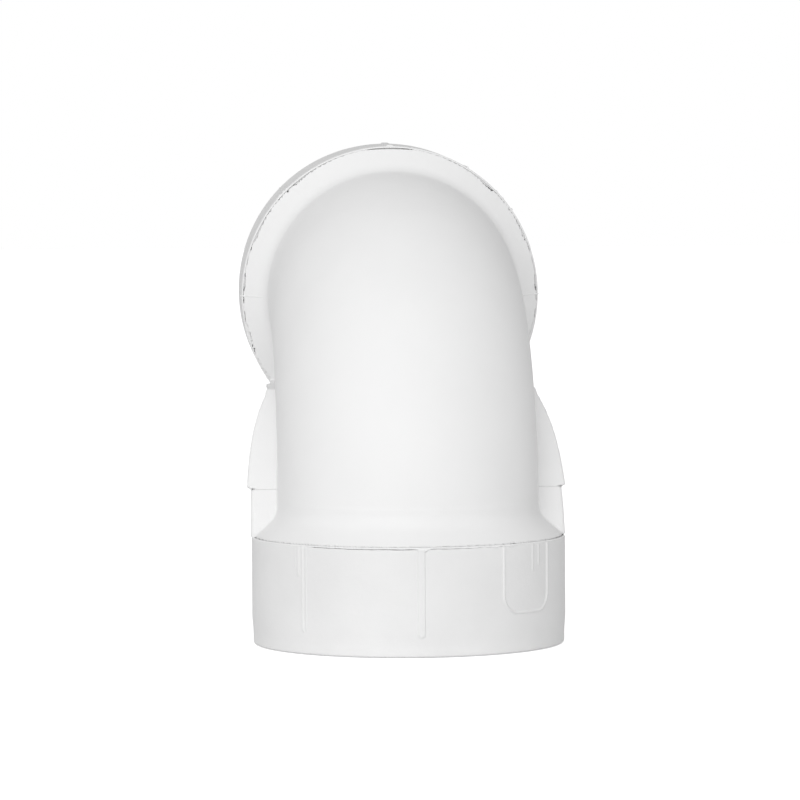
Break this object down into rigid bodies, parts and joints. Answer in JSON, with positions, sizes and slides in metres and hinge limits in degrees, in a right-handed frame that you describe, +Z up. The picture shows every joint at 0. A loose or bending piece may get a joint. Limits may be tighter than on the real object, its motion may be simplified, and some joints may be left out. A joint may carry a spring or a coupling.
{
  "type": "flue elbow",
  "caption": "Concentric flue elbow of 87 degrees: white outer air duct with a socket collar at each end round an inner flue duct held by finned spacers, sealed by lip rings.",
  "frame": {"origin": "centre of the lower mouth, on the plane of its rim", "axes": "+Z up the lower leg, +Y out along the upper leg, which rises 3 degrees from +Y, X across the bend; the outside of the bend faces -Y and +Z"},
  "size_m": [0.11, 0.1695, 0.1724],
  "materials": {
    "casing_white": "smooth white moulding",
    "collar_white": "white moulding with a fine orange-peel skin",
    "flue_plastic": "natural polypropylene, slightly translucent",
    "spacer_plastic": "white moulding",
    "seal_rubber": "matt moulded rubber"
  },
  "bodies": {
    "root": {"bend_shell": "casing_white", "flue_elbow": "flue_plastic", "lower_collar": "collar_white", "lower_air_seal": "seal_rubber", "lower_flue_seal": "seal_rubber", "lower_spacer": "spacer_plastic", "upper_collar": "collar_white", "upper_air_seal": "seal_rubber", "upper_flue_seal": "seal_rubber", "upper_spacer": "spacer_plastic"}
  },
  "joints": []
}
